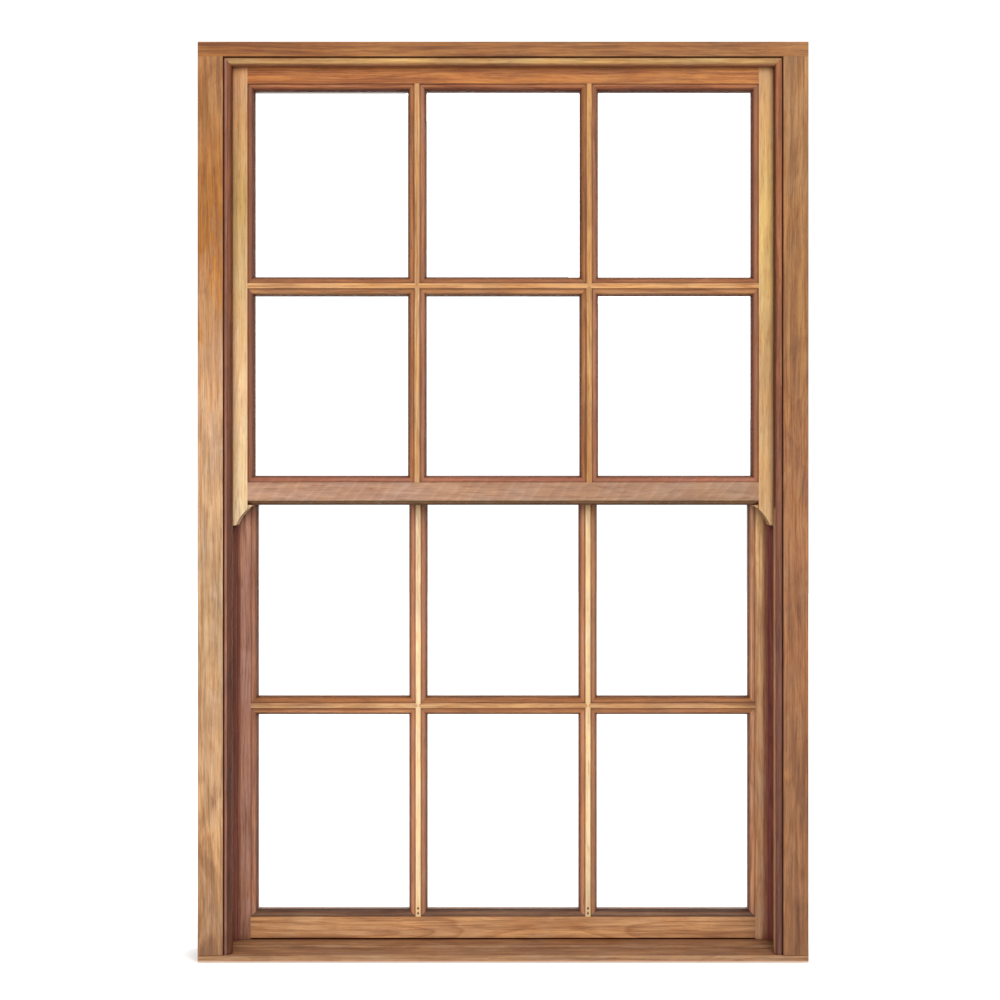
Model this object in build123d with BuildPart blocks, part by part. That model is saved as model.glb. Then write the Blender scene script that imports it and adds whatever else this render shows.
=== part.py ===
"""Timber double-hung sash window, six panes over six, in its frame.

The frame stands on its sill. +X is to the right seen from outside, +Y runs into the room and +Z is up.
The origin is the middle of the bottom face of the whole frame. All sizes are millimetres.
The upper sash slides down in the outer track and the lower sash slides up in the inner track.
Each sash hangs on two spiral balances that lie in grooves ploughed in the jambs.
"""
from build123d import *
import os

os.makedirs("parts", exist_ok=True)

# Overall size of the frame
frame_width = 1085.0
frame_height = 1635.5

# Frame members
jamb_thickness = 44.5
head_thickness = 26.0
sill_nose_height = 12.3
sill_weathering_rise = 0.14
sill_step_depth = 42.0
sill_step_rise = 4.0
sill_arris = 1.5
drip_groove_width = 6.0
drip_groove_depth = 4.0
drip_groove_setback = 12.0
frame_tenon_thickness = 16.0
frame_tenon_width = 60.0
frame_tenon_length = 12.0
sill_tenon_width = 40.0
sill_tenon_foot = 8.0

# Beads that make the two tracks, counted from the outside to the room
outer_bead_setback = 4.0
outer_bead_depth = 16.0
outer_bead_width = 15.5
outer_bead_radius = 8.0
bead_quirk_width = 2.6
bead_quirk_depth = 5.0
track_depth = 46.0
parting_bead_thickness = 8.0
parting_bead_proud = 18.0
parting_bead_housed = 8.0
staff_bead_depth = 20.0
staff_bead_width = 18.0
staff_bead_radius = 9.0

# Sashes
sash_side_clearance = 3.0
sash_top_clearance = 0.5
sash_sill_clearance = 0.3
track_clearance = 1.0
stile_width = 50.5
top_rail_width = 56.0
meeting_rail_rise = 47.25
upper_meeting_rail_width = 52.3
lower_meeting_rail_width = 46.0
bottom_rail_width = 52.6
bottom_rail_arris = 2.5
bottom_rail_arris_depth = 6.0
upper_bar_offset = -5.0
lower_bar_offset = 0.0
horn_length = 36.7
horn_foot_width = 20.0
horn_curve_sag = 4.0
horn_toe_radius = 4.0
meeting_bevel_height = 8.0
meeting_bevel_depth = 10.0
meeting_lip_clearance = 1.0

# Mouldings and glazing bars
moulding_width = 12.0
moulding_depth = 14.0
quirk_drop = 2.5
sight_lip = 1.0
bar_flat_width = 9.0
crossing_neck = 2.0
panes_across = 3

# Joints between the sash members
tenon_thickness = 12.0
tenon_front = 18.0
tenon_length = 30.0
tenon_shoulder = 8.0
bar_tenon_thickness = 5.0
bar_tenon_front = 20.0
bar_tenon_depth = 14.0
bar_tenon_length = 8.0

# Glass and glazing beads
glass_thickness = 4.0
glass_edge_clearance = 2.0
glazing_bead_setback = 2.0
glazing_bead_splay = 8.0

# Spiral balances
sash_head_room = 24.5
groove_width = 18.0
groove_depth = 18.0
tube_diameter = 15.0
tube_wall = 1.0
tube_seat_gap = 0.2
tube_head_gap = 12.0
tube_plug_length = 24.0
rod_width = 6.0
rod_thickness = 2.0
rod_pitch = 400.0
rod_end_margin = 10.0
bush_length = 6.0
bush_clearance = 0.3
slot_clearance = 0.5
screw_diameter = 4.0
screw_head_diameter = 8.0
screw_head_height = 2.0
screw_bite = 18.0
screw_sides = 6
foot_plate = 2.0
foot_width = 13.0
foot_height = 30.0
foot_lift = 2.0
prong_thickness = 1.5
prong_width = 5.0
prong_length = 6.0
prong_inset = 7.0

# Depths that follow, measured as Y from the middle of the frame
frame_depth = (
    outer_bead_setback + outer_bead_depth + 2 * track_depth + parting_bead_thickness + staff_bead_depth
)
front_y = -frame_depth / 2
back_y = frame_depth / 2
outer_track_y = front_y + outer_bead_setback + outer_bead_depth
parting_y = outer_track_y + track_depth
inner_track_y = parting_y + parting_bead_thickness
staff_y = inner_track_y + track_depth
sash_thickness = track_depth - 2 * track_clearance
glazing_bead_depth = sash_thickness - moulding_depth - glass_thickness - glazing_bead_setback
glazing_bead_nose = glazing_bead_depth - glazing_bead_splay
upper_sash_y = outer_track_y + track_clearance
lower_sash_y = inner_track_y + track_clearance

# Widths and heights that follow
half_width = frame_width / 2
reveal_x = half_width - jamb_thickness
soffit_z = frame_height - head_thickness
meeting_rail_height = frame_height / 2 + meeting_rail_rise
sash_travel = soffit_z - meeting_rail_height - sash_head_room
sash_edge_x = reveal_x - sash_side_clearance
sight_x = sash_edge_x - stile_width
quirk_x = sight_x + moulding_width
bar_width = bar_flat_width + 2 * moulding_width
ovolo_radius = moulding_depth - quirk_drop - sight_lip
pane_width = (2 * sight_x - (panes_across - 1) * bar_width) / panes_across
bar_xs = [
    -sight_x + (i + 1) * pane_width + (i + 0.5) * bar_width for i in range(panes_across - 1)
]
step_y = front_y + sill_step_depth
step_foot_z = sill_nose_height + sill_weathering_rise * sill_step_depth
step_top_z = step_foot_z + sill_step_rise
sill_seat_z = step_top_z + sill_weathering_rise * (inner_track_y - step_y)

frame_tenon_inset = (jamb_thickness - groove_depth - frame_tenon_thickness) / 2

# Balance positions that follow
tube_x = reveal_x + groove_depth - tube_seat_gap - tube_diameter / 2
tube_top_z = soffit_z - tube_head_gap
tube_length = sash_travel + tube_plug_length + bush_length + 2 * rod_end_margin
tube_bottom_z = tube_top_z - tube_length
bush_middle_z = tube_bottom_z + bush_length / 2
rod_top_shut = tube_top_z - tube_plug_length - rod_end_margin / 2
rod_top_open = rod_top_shut - sash_travel
track_middles = {
    "upper": outer_track_y + track_depth / 2,
    "lower": inner_track_y + track_depth / 2,
}
sides = {"left": -1, "right": 1}


class Sash:
    """Heights of one sash: its ends, its sight lines, its cross bar and where its faces stand."""

    def __init__(self, name, face_y, top, bottom, top_rail, bottom_rail, bar_offset, foot):
        self.name = name
        self.face_y = face_y
        self.top = top
        self.bottom = bottom
        self.top_sight = top - top_rail
        self.bottom_sight = bottom + bottom_rail
        self.bar_z = (self.top_sight + self.bottom_sight) / 2 + bar_offset
        self.foot = foot


upper = Sash(
    "upper",
    upper_sash_y,
    soffit_z - sash_top_clearance,
    meeting_rail_height - upper_meeting_rail_width,
    top_rail_width,
    upper_meeting_rail_width,
    upper_bar_offset,
    meeting_rail_height - upper_meeting_rail_width - horn_length,
)
lower = Sash(
    "lower",
    lower_sash_y,
    meeting_rail_height,
    sill_seat_z + sash_sill_clearance,
    lower_meeting_rail_width,
    bottom_rail_width,
    lower_bar_offset,
    sill_seat_z + sash_sill_clearance,
)


def save(piece, name):
    """Label a finished piece and write it as its own file."""
    piece.part.label = name
    export_step(piece.part, f"parts/{name}.step")


def block(low, high, mode=Mode.ADD):
    """A box between two opposite corners, in the part that is being built."""
    centre = tuple((a + b) / 2 for a, b in zip(low, high))
    size = [abs(b - a) for a, b in zip(low, high)]
    with Locations(centre):
        Box(*size, mode=mode)


def elevation(points, face_y, depth, mode=Mode.ADD):
    """A shape seen from the front, given as (x, z) points, cut back from a face by a depth."""
    with BuildSketch(Plane.XZ.offset(-face_y)) as seen:
        with BuildLine():
            Polyline(*points, close=True)
        make_face()
    extrude(seen.sketch, amount=-depth, mode=mode)


def section_plane(origin, across):
    """A plane across a member: local x runs along the given direction and local y runs into the room."""
    return Plane(origin=origin, x_dir=across, z_dir=Vector(*across).cross(Vector(0, 1, 0)))


def sill_ground():
    """The (y, z) line of the sill's upper side, from its nose to the room side."""
    return [
        (front_y, sill_nose_height),
        (step_y, step_foot_z),
        (step_y, step_top_z),
        (inner_track_y, sill_seat_z),
        (back_y, sill_seat_z),
    ]


def cut_by_sill(half_length):
    """Scribe what stands on the sill: take away all that lies below the sill's upper side."""
    with BuildSketch(Plane.YZ) as below:
        with BuildLine():
            Polyline(*sill_ground(), (back_y, -head_thickness), (front_y, -head_thickness), close=True)
        make_face()
    extrude(below.sketch, amount=half_length, both=True, mode=Mode.SUBTRACT)


def sill_mortise(side, mode):
    """The stub at a jamb's foot, as wood on the jamb or as a hole in the sill."""
    block(
        (side * (reveal_x + groove_depth + frame_tenon_inset), inner_track_y, sill_tenon_foot),
        (
            side * (reveal_x + groove_depth + frame_tenon_inset + frame_tenon_thickness),
            inner_track_y + sill_tenon_width,
            sill_seat_z + frame_tenon_length,
        ),
        mode,
    )


def head_mortise(side, mode):
    """The stub at a jamb's top, as wood on the jamb or as a hole in the head."""
    block(
        (side * (reveal_x + groove_depth + frame_tenon_inset), -frame_tenon_width / 2, soffit_z),
        (
            side * (reveal_x + groove_depth + frame_tenon_inset + frame_tenon_thickness),
            frame_tenon_width / 2,
            soffit_z + frame_tenon_length,
        ),
        mode,
    )


def tube_screw(side, face_y):
    """The screw through a balance tube's plug, driven sideways into the jamb."""
    seat = tube_x - tube_diameter / 2
    middle_z = tube_top_z - tube_plug_length / 2
    plane = Plane(
        origin=(side * seat, face_y, middle_z), x_dir=(0, 1, 0), z_dir=(side, 0, 0)
    )
    length = tube_diameter + tube_seat_gap + screw_bite
    with BuildSketch(plane) as shank:
        RegularPolygon(screw_diameter / 2, screw_sides)
    extrude(shank.sketch, amount=length)
    with BuildSketch(plane) as screw_head:
        RegularPolygon(screw_head_diameter / 2, screw_sides)
    extrude(screw_head.sketch, amount=-screw_head_height)


def balance_screws():
    """All four tube screws."""
    for side in sides.values():
        for middle_y in track_middles.values():
            tube_screw(side, middle_y)


# Frame: head, jambs and sill
with BuildPart() as balance_tube_screws:
    balance_screws()
save(balance_tube_screws, "balance_tube_screws")

with BuildPart() as head:
    block((-half_width, front_y, soffit_z), (half_width, back_y, frame_height))
    block(
        (-reveal_x, parting_y, soffit_z),
        (reveal_x, inner_track_y, soffit_z + parting_bead_housed),
        Mode.SUBTRACT,
    )
    for side in sides.values():
        head_mortise(side, Mode.SUBTRACT)
save(head, "head")

with BuildPart() as sill:
    with BuildSketch(Plane.YZ) as sill_section:
        with BuildLine():
            Polyline(*sill_ground(), (back_y, 0), (front_y, 0), close=True)
        make_face()
        with Locations((front_y + drip_groove_setback + drip_groove_width / 2, 0)):
            Rectangle(drip_groove_width, 2 * drip_groove_depth, mode=Mode.SUBTRACT)
    extrude(amount=half_width, both=True)
    nose = sill.edges().filter_by(Axis.X).group_by(Axis.Y)[0]
    chamfer(nose, length=sill_arris)
    for side in sides.values():
        sill_mortise(side, Mode.SUBTRACT)
save(sill, "sill")

for hand, side in sides.items():
    with BuildPart() as jamb:
        block((side * reveal_x, front_y, 0), (side * half_width, back_y, soffit_z))
        for middle_y in track_middles.values():
            block(
                (side * reveal_x, middle_y - groove_width / 2, 0),
                (side * (reveal_x + groove_depth), middle_y + groove_width / 2, soffit_z),
                Mode.SUBTRACT,
            )
        block(
            (side * reveal_x, parting_y, 0),
            (side * (reveal_x + parting_bead_housed), inner_track_y, soffit_z),
            Mode.SUBTRACT,
        )
        cut_by_sill(frame_width)
        head_mortise(side, Mode.ADD)
        sill_mortise(side, Mode.ADD)
        add(balance_tube_screws.part, mode=Mode.SUBTRACT)
    save(jamb, f"{hand}_jamb")


def bead_ring(width, clear_bottom):
    """Corners of a bead's path: the outer and inner (x, z) of its top and bottom ends."""
    inner_x = reveal_x - width
    top = (soffit_z, soffit_z - width)
    bottom = (sill_seat_z, sill_seat_z + width) if clear_bottom else (0, 0)
    return inner_x, top, bottom


def side_bead_outline(side, width, clear_bottom):
    """Elevation of an upright bead, mitred at the top and, on a four-sided ring, at the bottom."""
    inner_x, top, bottom = bead_ring(width, clear_bottom)
    return [
        (side * reveal_x, bottom[0]),
        (side * reveal_x, top[0]),
        (side * inner_x, top[1]),
        (side * inner_x, bottom[1]),
    ]


def level_bead_outline(width, outer_z, inner_z):
    """Elevation of a level bead between two mitres."""
    return [
        (-reveal_x, outer_z),
        (reveal_x, outer_z),
        (reveal_x - width, inner_z),
        (width - reveal_x, inner_z),
    ]


def outer_bead_section(plane):
    """Outer bead: a quirk beside the frame, a flat and a rounded inner edge."""
    with BuildSketch(plane) as section:
        with BuildLine():
            Polyline(
                (0, outer_bead_depth),
                (0, bead_quirk_depth),
                (bead_quirk_width, bead_quirk_depth),
                (bead_quirk_width, 0),
                (outer_bead_width - outer_bead_radius, 0),
            )
            TangentArc(
                (outer_bead_width - outer_bead_radius, 0),
                (outer_bead_width, outer_bead_radius),
                tangent=(1, 0),
            )
            Polyline(
                (outer_bead_width, outer_bead_radius),
                (outer_bead_width, outer_bead_depth),
                (0, outer_bead_depth),
            )
        make_face()
    return section


def staff_bead_section(plane):
    """Staff bead: plain towards the sash, with its room-side corner rounded."""
    with BuildSketch(plane) as section:
        with BuildLine():
            Polyline(
                (0, staff_bead_depth),
                (0, 0),
                (staff_bead_width, 0),
                (staff_bead_width, staff_bead_depth - staff_bead_radius),
            )
            TangentArc(
                (staff_bead_width, staff_bead_depth - staff_bead_radius),
                (staff_bead_width - staff_bead_radius, staff_bead_depth),
                tangent=(0, 1),
            )
            Line((staff_bead_width - staff_bead_radius, staff_bead_depth), (0, staff_bead_depth))
        make_face()
    return section


def run_section(section):
    """Run a section far enough both ways for the elevation to cut it to length."""
    extrude(section.sketch, amount=frame_height + frame_width, both=True)


# Beads of the frame
outer_face_y = front_y + outer_bead_setback
for hand, side in sides.items():
    with BuildPart() as outer_bead:
        run_section(outer_bead_section(section_plane((side * reveal_x, outer_face_y, 0), (-side, 0, 0))))
        elevation(
            side_bead_outline(side, outer_bead_width, False), outer_face_y, outer_bead_depth, Mode.INTERSECT
        )
        cut_by_sill(frame_width)
    save(outer_bead, f"{hand}_outer_bead")

    with BuildPart() as staff_bead:
        run_section(staff_bead_section(section_plane((side * reveal_x, staff_y, 0), (-side, 0, 0))))
        elevation(
            side_bead_outline(side, staff_bead_width, True), staff_y, staff_bead_depth, Mode.INTERSECT
        )
    save(staff_bead, f"{hand}_staff_bead")

    with BuildPart() as parting_bead:
        block(
            (side * (reveal_x - parting_bead_proud), parting_y, 0),
            (side * (reveal_x + parting_bead_housed), inner_track_y, soffit_z),
        )
        block(
            (side * (reveal_x - parting_bead_proud), parting_y, soffit_z - parting_bead_proud),
            (side * reveal_x, inner_track_y, soffit_z),
            Mode.SUBTRACT,
        )
        cut_by_sill(frame_width)
    save(parting_bead, f"{hand}_parting_bead")

with BuildPart() as head_outer_bead:
    run_section(outer_bead_section(section_plane((0, outer_face_y, soffit_z), (0, 0, -1))))
    elevation(
        level_bead_outline(outer_bead_width, soffit_z, soffit_z - outer_bead_width),
        outer_face_y,
        outer_bead_depth,
        Mode.INTERSECT,
    )
save(head_outer_bead, "head_outer_bead")

with BuildPart() as head_parting_bead:
    block(
        (-reveal_x, parting_y, soffit_z - parting_bead_proud),
        (reveal_x, inner_track_y, soffit_z + parting_bead_housed),
    )
save(head_parting_bead, "head_parting_bead")

with BuildPart() as head_staff_bead:
    run_section(staff_bead_section(section_plane((0, staff_y, soffit_z), (0, 0, -1))))
    elevation(
        level_bead_outline(staff_bead_width, soffit_z, soffit_z - staff_bead_width),
        staff_y,
        staff_bead_depth,
        Mode.INTERSECT,
    )
save(head_staff_bead, "head_staff_bead")

with BuildPart() as sill_staff_bead:
    run_section(staff_bead_section(section_plane((0, staff_y, sill_seat_z), (0, 0, 1))))
    elevation(
        level_bead_outline(staff_bead_width, sill_seat_z, sill_seat_z + staff_bead_width),
        staff_y,
        staff_bead_depth,
        Mode.INTERSECT,
    )
save(sill_staff_bead, "sill_staff_bead")


def moulded_edge():
    """The moulded edge of a sash member, from its face round to the back of the moulding.

    Local x is 0 at the sight line and local y is 0 at the outside face.
    """
    spring = (sight_lip + ovolo_radius, quirk_drop)
    foot = (sight_lip, moulding_depth - sight_lip)
    Polyline((moulding_width, 0), (moulding_width, quirk_drop), spring)
    TangentArc(spring, foot, tangent=(-1, 0))
    Polyline(foot, (0, moulding_depth - sight_lip), (0, moulding_depth), (moulding_width, moulding_depth))


def member_section(plane, width, bevel=(0, 0), lip=None):
    """Section of a rail or stile: moulded edge, glass rebate and a square back."""
    corner = [(width, bevel[1]), (width - bevel[0], 0)] if bevel[0] else [(width, 0)]
    front = [] if lip is None or lip[0] > 0 else meeting_lip(width, lip)
    back = [] if lip is None or lip[0] < 0 else meeting_lip(width, lip)
    with BuildSketch(plane) as section:
        with BuildLine():
            moulded_edge()
            Polyline(
                (moulding_width, moulding_depth),
                (moulding_width, sash_thickness),
                *back,
                *([(width, sash_thickness)] if not back else []),
                *(corner if not front else front),
                (moulding_width, 0),
            )
        make_face()
    return section


def meeting_lip(width, lip):
    """Points of the splayed lip that closes the gap behind the meeting rails.

    A positive reach points into the room from the back, a negative one outwards from the face.
    """
    reach, splay_start = lip
    if reach > 0:
        return [
            (splay_start, sash_thickness),
            (splay_start + reach, sash_thickness + reach),
            (width, sash_thickness + reach),
        ]
    return [(width, reach), (splay_start, reach), (splay_start + reach, 0)]


def bar_section(plane):
    """Section of a glazing bar, moulded on both edges, with local x 0 at its centre line."""
    edge = plane.shift_origin(plane.from_local_coords((-bar_width / 2, 0, 0)))
    with BuildSketch(edge) as section:
        with BuildLine():
            moulded_edge()
            Polyline(
                (moulding_width, moulding_depth),
                (moulding_width, sash_thickness),
                (bar_width / 2, sash_thickness),
                (bar_width / 2, 0),
                (moulding_width, 0),
            )
        make_face()
        mirror(about=Plane.YZ.offset(bar_width / 2))
    return section


def rail_tenon(side, low, high, sash, mode):
    """The tenon that joins a rail to a stile, between two heights."""
    tenon_y = sash.face_y + tenon_front
    block(
        (side * quirk_x, tenon_y, low),
        (side * (quirk_x + tenon_length), tenon_y + tenon_thickness, high),
        mode,
    )


def rail_tenon_heights(sash):
    """Lowest and highest point of the tenons of the top rail and of the bottom rail."""
    top = (sash.top_sight + moulding_width, sash.top - tenon_shoulder)
    bottom = (sash.bottom + tenon_shoulder, sash.bottom_sight - moulding_width)
    return top, bottom


def upright_stub(x, z, reach, sash, mode):
    """The stub tenon at the end of an upright bar; reach is up if positive."""
    stub_y = sash.face_y + bar_tenon_front
    block(
        (x - bar_tenon_thickness / 2, stub_y, z),
        (x + bar_tenon_thickness / 2, stub_y + bar_tenon_depth, z + reach),
        mode,
    )


def level_stub(side, z, sash, mode):
    """The stub tenon at the end of a cross bar, in a stile."""
    stub_y = sash.face_y + bar_tenon_front
    block(
        (side * quirk_x, stub_y, z - bar_tenon_thickness / 2),
        (side * (quirk_x + bar_tenon_length), stub_y + bar_tenon_depth, z + bar_tenon_thickness / 2),
        mode,
    )


def bar_notch(centre, sight, outward):
    """Points where a bar's mitred end bites into a member's moulded edge, in order along the edge."""
    half = bar_width / 2
    flat = bar_flat_width / 2
    quirk = sight + outward * moulding_width
    return [(centre + half, sight), (centre + flat, quirk), (centre - flat, quirk), (centre - half, sight)]


def rail_outline(sight, edge):
    """Elevation of a rail between the stiles, mitred at its ends and notched for the bars."""
    outward = 1 if edge > sight else -1
    quirk = sight + outward * moulding_width
    points = [(-quirk_x, edge), (quirk_x, edge), (quirk_x, quirk), (sight_x, sight)]
    for x in reversed(bar_xs):
        points += bar_notch(x, sight, outward)
    return points + [(-sight_x, sight), (-quirk_x, quirk)]


def stile_inner_edge(side, sash):
    """Elevation of a stile's inner edge, from its top end down to the bottom rail's moulding."""
    top_quirk = sash.top_sight + moulding_width
    points = [(side * quirk_x, sash.top), (side * quirk_x, top_quirk), (side * sight_x, sash.top_sight)]
    points += [(side * x, z) for z, x in bar_notch(sash.bar_z, sight_x, 1)]
    return points + [
        (side * sight_x, sash.bottom_sight),
        (side * quirk_x, sash.bottom_sight - moulding_width),
        (side * quirk_x, sash.bottom),
    ]


def foot_prongs(side, sash, mode):
    """The two prongs of a balance foot, driven into the edge of the stile."""
    middle_y = track_middles[sash.name]
    for z in (foot_base(sash) + prong_inset, foot_base(sash) + foot_height - prong_inset):
        block(
            (side * sash_edge_x, middle_y - prong_width / 2, z - prong_thickness / 2),
            (side * (sash_edge_x - prong_length), middle_y + prong_width / 2, z + prong_thickness / 2),
            mode,
        )


def foot_base(sash):
    """Height of the underside of a balance foot."""
    return sash.foot + foot_lift


def make_stile(side, sash, horned):
    """A stile, with a shaped horn below the meeting rail where it is horned."""
    with BuildPart() as stile:
        plane = section_plane((side * sight_x, sash.face_y, 0), (side, 0, 0))
        run_section(member_section(plane, stile_width))
        with BuildSketch(Plane.XZ.offset(-sash.face_y)) as seen:
            with BuildLine():
                inner = stile_inner_edge(side, sash)
                Polyline((side * sash_edge_x, sash.foot), (side * sash_edge_x, sash.top), *inner)
                if horned:
                    foot_x = sash_edge_x - horn_foot_width
                    shoulder = (side * sight_x, sash.bottom)
                    ball = (side * foot_x, sash.foot + horn_toe_radius)
                    toe = (side * (foot_x + horn_toe_radius), sash.foot)
                    Line((side * quirk_x, sash.bottom), shoulder)
                    SagittaArc(shoulder, ball, side * horn_curve_sag)
                    RadiusArc(ball, toe, -side * horn_toe_radius)
                    Line(toe, (side * sash_edge_x, sash.foot))
                else:
                    Line((side * quirk_x, sash.bottom), (side * sash_edge_x, sash.foot))
            make_face()
        extrude(seen.sketch, amount=-sash_thickness, mode=Mode.INTERSECT)
        for low, high in rail_tenon_heights(sash):
            rail_tenon(side, low, high, sash, Mode.SUBTRACT)
        level_stub(side, sash.bar_z, sash, Mode.SUBTRACT)
        foot_prongs(side, sash, Mode.SUBTRACT)
    return stile


def make_rail(sash, sight, edge, tenon_heights, bevel=(0, 0), lip=None):
    """A rail between the stiles, with its tenons and the mortises for the upright bars."""
    outward = 1 if edge > sight else -1
    quirk = sight + outward * moulding_width
    with BuildPart() as rail:
        plane = section_plane((0, sash.face_y, sight), (0, 0, outward))
        run_section(member_section(plane, abs(edge - sight), bevel, lip))
        reach = abs(lip[0]) if lip else 0
        elevation(
            rail_outline(sight, edge), sash.face_y - reach, sash_thickness + 2 * reach, Mode.INTERSECT
        )
        for side in sides.values():
            rail_tenon(side, *tenon_heights, sash, Mode.ADD)
        for x in bar_xs:
            upright_stub(x, quirk, outward * bar_tenon_length, sash, Mode.SUBTRACT)
    return rail


lip_reach = parting_bead_thickness + 2 * track_clearance - meeting_lip_clearance
lip_middle = upper_meeting_rail_width / 2

# Stiles and rails of both sashes
for sash in (upper, lower):
    for hand, side in sides.items():
        save(make_stile(side, sash, sash is upper), f"{sash.name}_{hand}_stile")

upper_top_tenon, upper_bottom_tenon = rail_tenon_heights(upper)
lower_top_tenon, lower_bottom_tenon = rail_tenon_heights(lower)

upper_top_rail = make_rail(upper, upper.top_sight, upper.top, upper_top_tenon)
save(upper_top_rail, "upper_top_rail")

upper_meeting_rail = make_rail(
    upper,
    upper.bottom_sight,
    upper.bottom,
    upper_bottom_tenon,
    (meeting_bevel_height, meeting_bevel_depth),
    (lip_reach, lip_middle),
)
save(upper_meeting_rail, "upper_meeting_rail")

lower_meeting_rail = make_rail(
    lower,
    lower.top_sight,
    lower.top,
    lower_top_tenon,
    lip=(-lip_reach, lower_meeting_rail_width - lip_middle),
)
save(lower_meeting_rail, "lower_meeting_rail")

lower_bottom_rail = make_rail(
    lower,
    lower.bottom_sight,
    lower.bottom,
    lower_bottom_tenon,
    (bottom_rail_arris, bottom_rail_arris_depth),
)
save(lower_bottom_rail, "lower_bottom_rail")


def end_points(centre, sight, outward):
    """Points of a bar's end where it is mitred into a rail or stile, from one edge to the other."""
    return list(reversed(bar_notch(centre, sight, outward)))


def crossing_points(centre, crossing, outward):
    """Points of a bar's end where it comes to a point against a bar that runs through."""
    half = bar_width / 2
    neck = crossing_neck / 2
    return [
        (centre - half, crossing - outward * half),
        (centre - neck, crossing - outward * neck),
        (centre + neck, crossing - outward * neck),
        (centre + half, crossing - outward * half),
    ]


def bar_piece(sash, upright, centre, low_end, high_end, crossings=()):
    """A glazing bar piece cut to its elevation, in (across, along) points from its low to its high end."""
    along = [*low_end, *reversed(high_end)]
    points = along if upright else [(b, a) for a, b in along]
    with BuildPart() as bar:
        if upright:
            plane = section_plane((centre, sash.face_y, 0), (1, 0, 0))
        else:
            plane = section_plane((0, sash.face_y, centre), (0, 0, 1))
        run_section(bar_section(plane))
        elevation(points, sash.face_y, sash_thickness, Mode.INTERSECT)
        for crossing in crossings:
            for outward in (-1, 1):
                notch = crossing_points(crossing, centre, outward)
                seen = [(b, a) for a, b in notch] if upright else notch
                elevation(seen, sash.face_y, moulding_depth, Mode.SUBTRACT)
    return bar


def trim_core(sash, x, z, length_x, length_z):
    """Cut the square core of a pointed bar back to the side of the core that runs through."""
    block(
        (x - length_x / 2, sash.face_y + moulding_depth, z - length_z / 2),
        (x + length_x / 2, sash.face_y + sash_thickness, z + length_z / 2),
        Mode.SUBTRACT,
    )


# Glazing bars of the upper sash: one long cross bar and four pointed uprights
upper_cross_bar = bar_piece(
    upper,
    False,
    upper.bar_z,
    end_points(upper.bar_z, -sight_x, -1),
    end_points(upper.bar_z, sight_x, 1),
    bar_xs,
)
with upper_cross_bar:
    for side in sides.values():
        level_stub(side, upper.bar_z, upper, Mode.ADD)
save(upper_cross_bar, "upper_cross_bar")

for i, x in enumerate(bar_xs):
    above = bar_piece(
        upper,
        True,
        x,
        crossing_points(x, upper.bar_z, -1),
        end_points(x, upper.top_sight, 1),
    )
    with above:
        trim_core(upper, x, upper.bar_z, bar_width, bar_flat_width)
        upright_stub(x, upper.top_sight + moulding_width, bar_tenon_length, upper, Mode.ADD)
    save(above, f"upper_bar_above_{i + 1}")
    below = bar_piece(
        upper,
        True,
        x,
        end_points(x, upper.bottom_sight, -1),
        crossing_points(x, upper.bar_z, 1),
    )
    with below:
        trim_core(upper, x, upper.bar_z, bar_width, bar_flat_width)
        upright_stub(x, upper.bottom_sight - moulding_width, -bar_tenon_length, upper, Mode.ADD)
    save(below, f"upper_bar_below_{i + 1}")


# Glazing bars of the lower sash: two long uprights and three pointed cross bars
for i, x in enumerate(bar_xs):
    long_bar = bar_piece(
        lower,
        True,
        x,
        end_points(x, lower.bottom_sight, -1),
        end_points(x, lower.top_sight, 1),
        [lower.bar_z],
    )
    with long_bar:
        upright_stub(x, lower.top_sight + moulding_width, bar_tenon_length, lower, Mode.ADD)
        upright_stub(x, lower.bottom_sight - moulding_width, -bar_tenon_length, lower, Mode.ADD)
    save(long_bar, f"lower_long_bar_{i + 1}")

cross_names = {0: "left", panes_across - 1: "right"}
for i in range(panes_across):
    at_left = i == 0
    at_right = i == panes_across - 1
    low_end = (
        end_points(lower.bar_z, -sight_x, -1)
        if at_left
        else crossing_points(lower.bar_z, bar_xs[i - 1], -1)
    )
    high_end = (
        end_points(lower.bar_z, sight_x, 1) if at_right else crossing_points(lower.bar_z, bar_xs[i], 1)
    )
    cross_bar = bar_piece(lower, False, lower.bar_z, low_end, high_end)
    with cross_bar:
        if at_left:
            level_stub(-1, lower.bar_z, lower, Mode.ADD)
        else:
            trim_core(lower, bar_xs[i - 1], lower.bar_z, bar_flat_width, bar_width)
        if at_right:
            level_stub(1, lower.bar_z, lower, Mode.ADD)
        else:
            trim_core(lower, bar_xs[i], lower.bar_z, bar_flat_width, bar_width)
    save(cross_bar, f"lower_cross_bar_{cross_names.get(i, 'middle')}")


def pane_openings(sash):
    """Sight openings of a sash, row by row from the top: left, right, bottom and top of each."""
    rows = {
        "top": (sash.bar_z + bar_width / 2, sash.top_sight),
        "bottom": (sash.bottom_sight, sash.bar_z - bar_width / 2),
    }
    for row, (low, high) in rows.items():
        for i in range(panes_across):
            left = -sight_x + i * (pane_width + bar_width)
            yield f"{row}_{i + 1}", left, left + pane_width, low, high


def make_glass(sash, left, right, low, high):
    """A pane of glass, reaching under the moulding on every side."""
    cover = moulding_width - glass_edge_clearance
    face = sash.face_y + moulding_depth
    with BuildPart() as glass:
        block((left - cover, face, low - cover), (right + cover, face + glass_thickness, high + cover))
    return glass


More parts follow.
